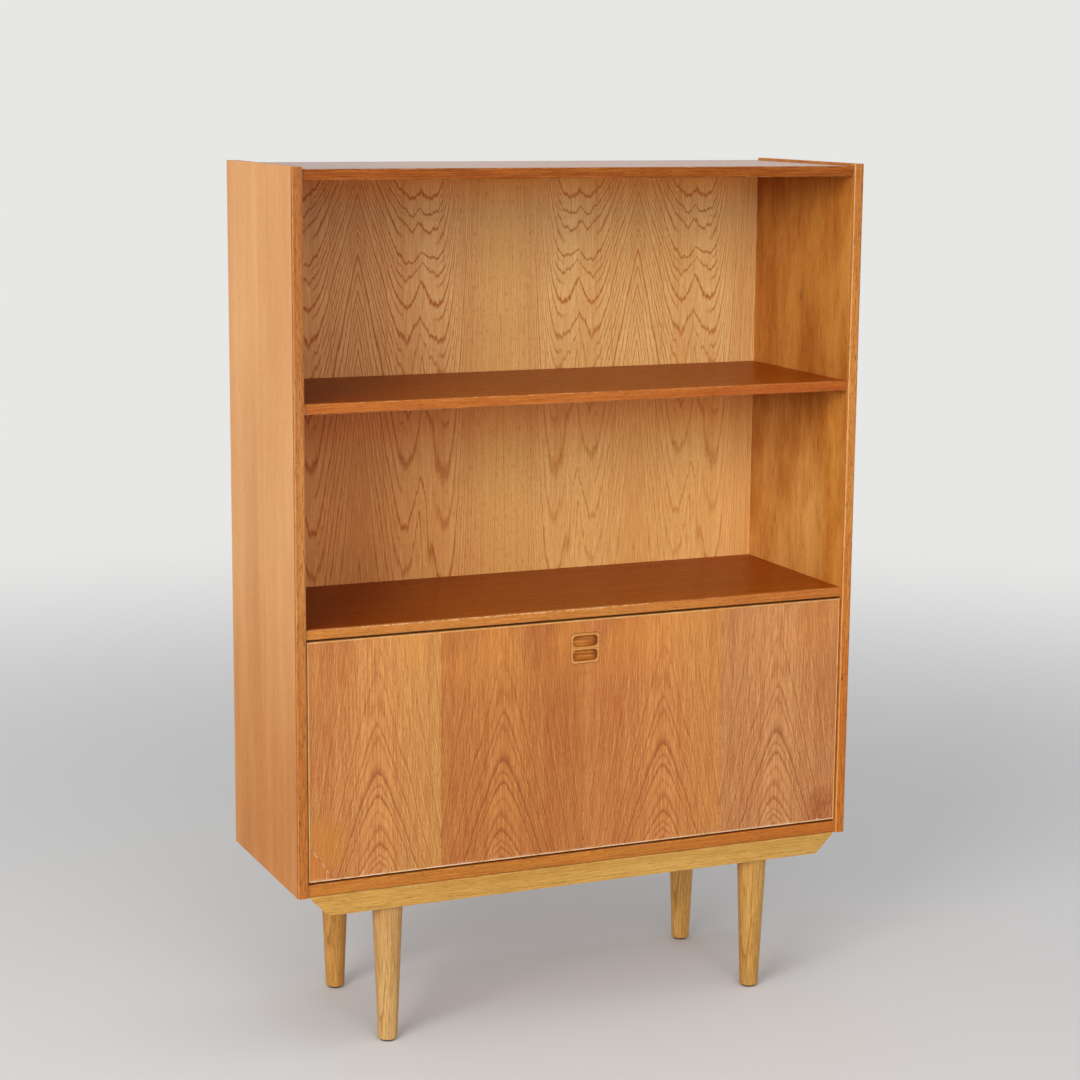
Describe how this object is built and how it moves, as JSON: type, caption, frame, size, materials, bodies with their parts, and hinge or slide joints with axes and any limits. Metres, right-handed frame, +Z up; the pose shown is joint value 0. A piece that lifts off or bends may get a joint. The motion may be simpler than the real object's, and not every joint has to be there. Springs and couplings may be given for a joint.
{
  "type": "bookcase cabinet",
  "caption": "Free-standing oak bookcase cabinet with open shelf bays over a drop-flap compartment with an inlaid finger pull, on an undercut rail base with turned tapered legs.",
  "frame": {"origin": "on the floor under the middle of the cabinet: the bottom centre of its bounding box", "axes": "+Z up, +X to the right seen from the front, +Y from the front to the back, so the front faces -Y"},
  "size_m": [0.9, 0.31, 1.2842],
  "materials": {
    "carcass_veneer": "satin oil, fine straight grain",
    "flap_veneer": "satin, book-matched crown cut",
    "back_veneer": "satin, crown cut with dark growth lines",
    "oak_lipping": "satin solid oak, arrises eased",
    "base_oak": "satin solid oak, paler",
    "beech": "plain",
    "brass": "satin",
    "bright_steel": "nickel plated",
    "magnet_steel": "ground",
    "brown_plastic": "matt",
    "nylon": "matt"
  },
  "bodies": {
    "carcass": {"back_sheet": "back_veneer", "back_sheet_screws": "bright_steel", "base_cross_rail_left": "base_oak", "base_cross_rail_right": "base_oak", "base_dowels": "beech", "base_rail_front": "base_oak", "base_rail_rear": "base_oak", "base_screws": "bright_steel", "bottom_board": "carcass_veneer", "bottom_lipping": "oak_lipping", "carcass_dowels": "beech", "catch_case": "brown_plastic", "catch_magnet": "magnet_steel", "catch_screws": "bright_steel", "fixed_shelf": "carcass_veneer", "fixed_shelf_lipping": "oak_lipping", "flap_pivot_bush_left": "brass", "flap_pivot_bush_right": "brass", "glide_front_left": "nylon", "glide_front_right": "nylon", "glide_rear_left": "nylon", "glide_rear_right": "nylon", "leg_front_left": "base_oak", "leg_front_right": "base_oak", "leg_rear_left": "base_oak", "leg_rear_right": "base_oak", "shelf_pins": "brass", "side_lipping_left": "oak_lipping", "side_lipping_right": "oak_lipping", "side_panel_left": "carcass_veneer", "side_panel_right": "carcass_veneer", "stay_post_left": "bright_steel", "stay_post_right": "bright_steel", "stay_post_screws": "bright_steel", "top_board": "carcass_veneer", "top_lipping": "oak_lipping"},
    "flap": {"finger_pull": "oak_lipping", "flap_lipping_bottom": "oak_lipping", "flap_lipping_left": "oak_lipping", "flap_lipping_right": "oak_lipping", "flap_lipping_top": "oak_lipping", "flap_panel": "flap_veneer", "flap_pivot_pin_left": "bright_steel", "flap_pivot_pin_right": "bright_steel", "stay_bracket_left": "bright_steel", "stay_bracket_right": "bright_steel", "stay_bracket_screws": "bright_steel", "stay_rivet_left": "bright_steel", "stay_rivet_right": "bright_steel", "strike_plate": "bright_steel", "strike_screw": "bright_steel"},
    "stay_arm_left": {"stay_rod_left": "bright_steel", "stay_stop_left": "bright_steel"},
    "stay_arm_right": {"stay_rod_right": "bright_steel", "stay_stop_right": "bright_steel"},
    "stay_guide_left": {"stay_guide_left": "bright_steel"},
    "stay_guide_right": {"stay_guide_right": "bright_steel"},
    "loose_shelf": {"loose_shelf": "carcass_veneer", "loose_shelf_lipping": "oak_lipping"}
  },
  "joints": [
    {"name": "flap_drop", "type": "hinge", "parent": "carcass", "child": "flap", "pos_m": [0, -0.1425, 0.27291], "axis": [1, 0, 0], "range_deg": [0, 90]},
    {"name": "stay_arm_left_pivot", "type": "hinge", "parent": "flap", "child": "stay_arm_left", "pos_m": [-0.419, -0.1225, 0.42291], "axis": [1, 0, 0], "range_deg": [-45, 0]},
    {"name": "stay_guide_left_swivel", "type": "hinge", "parent": "carcass", "child": "stay_guide_left", "pos_m": [-0.419, -0.03004, 0.37417], "axis": [1, 0, 0], "range_deg": [0, 45]},
    {"name": "stay_arm_right_pivot", "type": "hinge", "parent": "flap", "child": "stay_arm_right", "pos_m": [0.419, -0.1225, 0.42291], "axis": [1, 0, 0], "range_deg": [-45, 0]},
    {"name": "stay_guide_right_swivel", "type": "hinge", "parent": "carcass", "child": "stay_guide_right", "pos_m": [0.419, -0.03004, 0.37417], "axis": [1, 0, 0], "range_deg": [0, 45]},
    {"name": "loose_shelf_draw", "type": "slide", "parent": "carcass", "child": "loose_shelf", "axis": [0, -1, 0], "range_m": [0, 0.25]}
  ],
  "couplings": [
    {"joint": "stay_arm_left_pivot", "follows": "flap_drop", "ratio": -0.5},
    {"joint": "stay_guide_left_swivel", "follows": "flap_drop", "ratio": 0.5},
    {"joint": "stay_arm_right_pivot", "follows": "flap_drop", "ratio": -0.5},
    {"joint": "stay_guide_right_swivel", "follows": "flap_drop", "ratio": 0.5}
  ]
}
